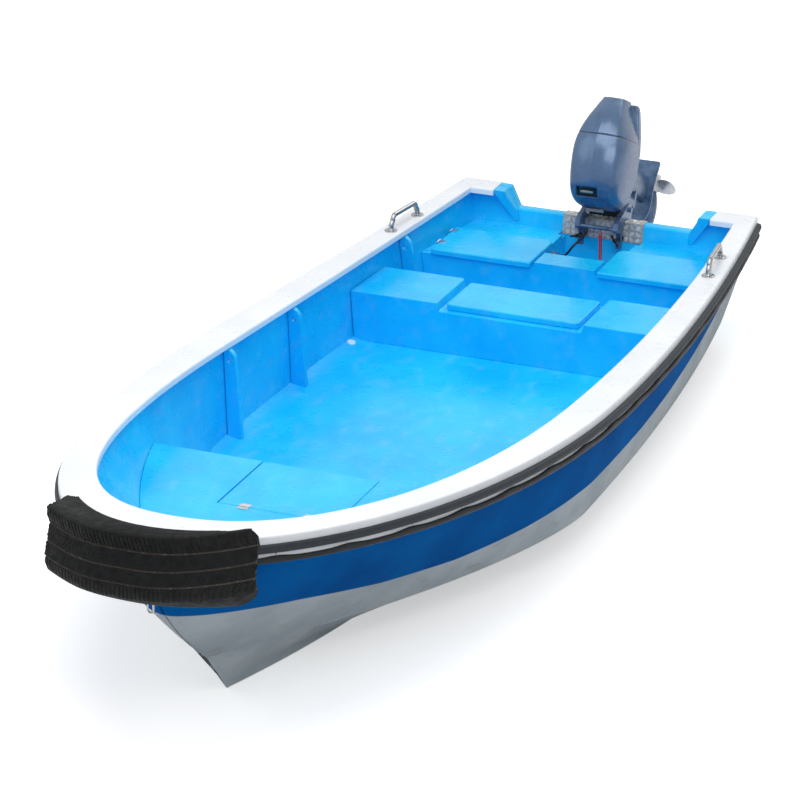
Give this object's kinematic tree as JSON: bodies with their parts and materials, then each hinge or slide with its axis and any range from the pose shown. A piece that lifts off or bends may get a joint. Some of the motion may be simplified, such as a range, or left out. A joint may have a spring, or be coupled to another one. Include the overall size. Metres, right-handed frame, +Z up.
{
  "type": "panga boat",
  "caption": "Open fibreglass panga with a flared bow, wide coaming, box seats with lids, a tyre bow fender and a tilted clamp-on outboard motor.",
  "frame": {"origin": "on the centre line, on the underside of the flat keel pad, 0.25 m aft of the widest place", "axes": "+X to port, -Y towards the bow, +Z up; the keel pad is level"},
  "size_m": [1.996, 5.9758, 1.099],
  "materials": {
    "hull": "gloss gelcoat: blue band over a pale grey bottom",
    "cockpit_liner": "gloss gelcoat",
    "transom": "gloss gelcoat",
    "gunwale_coaming": "gloss white gelcoat",
    "rubbing_rail": "matt extruded rubber",
    "lower_rail": "matt",
    "knee_port": "gloss gelcoat",
    "knee_starboard": "gloss gelcoat",
    "forward_locker": "gloss gelcoat",
    "forward_hatch": "gloss gelcoat",
    "hatch_hinge_1": "polished stainless",
    "hatch_hinge_2": "polished stainless",
    "mid_thwart": "gloss gelcoat",
    "mid_lid": "gloss gelcoat",
    "aft_bench": "gloss gelcoat",
    "aft_lid_port": "gloss gelcoat",
    "aft_lid_starboard": "gloss gelcoat",
    "hinge_port_1": "polished stainless",
    "hinge_port_2": "polished stainless",
    "hinge_starboard_1": "polished stainless",
    "hinge_starboard_2": "polished stainless",
    "grab_handle_port": "polished stainless tube",
    "grab_handle_starboard": "polished stainless tube",
    "tyre_fender": "worn tread",
    "bow_eye": "polished stainless",
    "chequer_plate": "chequered plate",
    "drain_plug": "gloss",
    "hose_fitting": "matt",
    "clamp_bracket": "gloss slate-blue paint",
    "clamp_screw_port": "black",
    "clamp_screw_starboard": "black",
    "fuel_connector": "matt",
    "fuel_hose": "matt",
    "stop_lanyard": "coiled cord",
    "lanyard_clip": "gloss",
    "swivel_bracket": "gloss slate-blue paint",
    "mid_section": "gloss slate-blue paint",
    "gearcase": "gloss slate-blue paint",
    "lower_cowl": "gloss slate-blue paint",
    "top_cowl": "gloss slate-blue paint",
    "starter_handle": "matt",
    "powerhead": "painted",
    "stop_switch": "matt",
    "propeller": "worn",
    "rib_port_1": "gloss gelcoat",
    "rib_port_2": "gloss gelcoat",
    "rib_port_3": "gloss gelcoat",
    "rib_starboard_1": "gloss gelcoat",
    "rib_starboard_2": "gloss gelcoat",
    "rib_starboard_3": "gloss gelcoat"
  },
  "bodies": {
    "boat": {"hull": "hull", "cockpit_liner": "cockpit_liner", "transom": "transom", "gunwale_coaming": "gunwale_coaming", "rubbing_rail": "rubbing_rail", "lower_rail": "lower_rail", "knee_port": "knee_port", "knee_starboard": "knee_starboard", "forward_locker": "forward_locker", "hatch_hinge_1": "hatch_hinge_1", "hatch_hinge_2": "hatch_hinge_2", "mid_thwart": "mid_thwart", "aft_bench": "aft_bench", "hinge_port_1": "hinge_port_1", "hinge_port_2": "hinge_port_2", "hinge_starboard_1": "hinge_starboard_1", "hinge_starboard_2": "hinge_starboard_2", "grab_handle_port": "grab_handle_port", "grab_handle_starboard": "grab_handle_starboard", "tyre_fender": "tyre_fender", "bow_eye": "bow_eye", "chequer_plate": "chequer_plate", "drain_plug": "drain_plug", "hose_fitting": "hose_fitting", "clamp_bracket": "clamp_bracket", "clamp_screw_port": "clamp_screw_port", "clamp_screw_starboard": "clamp_screw_starboard", "fuel_connector": "fuel_connector", "fuel_hose": "fuel_hose", "stop_lanyard": "stop_lanyard", "lanyard_clip": "lanyard_clip", "rib_port_1": "rib_port_1", "rib_port_2": "rib_port_2", "rib_port_3": "rib_port_3", "rib_starboard_1": "rib_starboard_1", "rib_starboard_2": "rib_starboard_2", "rib_starboard_3": "rib_starboard_3"},
    "forward_hatch": {"forward_hatch": "forward_hatch"},
    "aft_lid_port": {"aft_lid_port": "aft_lid_port"},
    "aft_lid_starboard": {"aft_lid_starboard": "aft_lid_starboard"},
    "mid_lid": {"mid_lid": "mid_lid"},
    "motor_tilting": {"swivel_bracket": "swivel_bracket"},
    "motor_steering": {"mid_section": "mid_section", "gearcase": "gearcase", "lower_cowl": "lower_cowl", "top_cowl": "top_cowl", "starter_handle": "starter_handle", "powerhead": "powerhead", "stop_switch": "stop_switch"},
    "propeller": {"propeller": "propeller"}
  },
  "joints": [
    {"name": "forward_hatch_hinge", "type": "hinge", "parent": "boat", "child": "forward_hatch", "pos_m": [0, -1.442, 0.5588], "axis": [1, 0, 0], "range_deg": [0, 100]},
    {"name": "aft_lid_port_hinge", "type": "hinge", "parent": "boat", "child": "aft_lid_port", "pos_m": [0.68675, 1.98, 0.4523], "axis": [0, 1, 0], "range_deg": [0, 85]},
    {"name": "aft_lid_starboard_hinge", "type": "hinge", "parent": "boat", "child": "aft_lid_starboard", "pos_m": [-0.68675, 1.98, 0.4523], "axis": [0, -1, 0], "range_deg": [0, 85]},
    {"name": "mid_lid_lift", "type": "slide", "parent": "boat", "child": "mid_lid", "axis": [0, 0, 1], "range_m": [0, 0.25]},
    {"name": "motor_tilt", "type": "hinge", "parent": "boat", "child": "motor_tilting", "pos_m": [0, 2.44, 0.548], "axis": [1, 0, 0], "range_deg": [-62, 4]},
    {"name": "motor_steer", "type": "hinge", "parent": "motor_tilting", "child": "motor_steering", "pos_m": [0, 2.47521, 0.61422], "axis": [0, -0.8829, 0.4695], "range_deg": [-40, 40]},
    {"name": "propeller_spin", "type": "hinge", "parent": "motor_steering", "child": "propeller", "pos_m": [0, 3.09719, 0.44207], "axis": [0, 0.4695, 0.8829], "continuous": true}
  ]
}
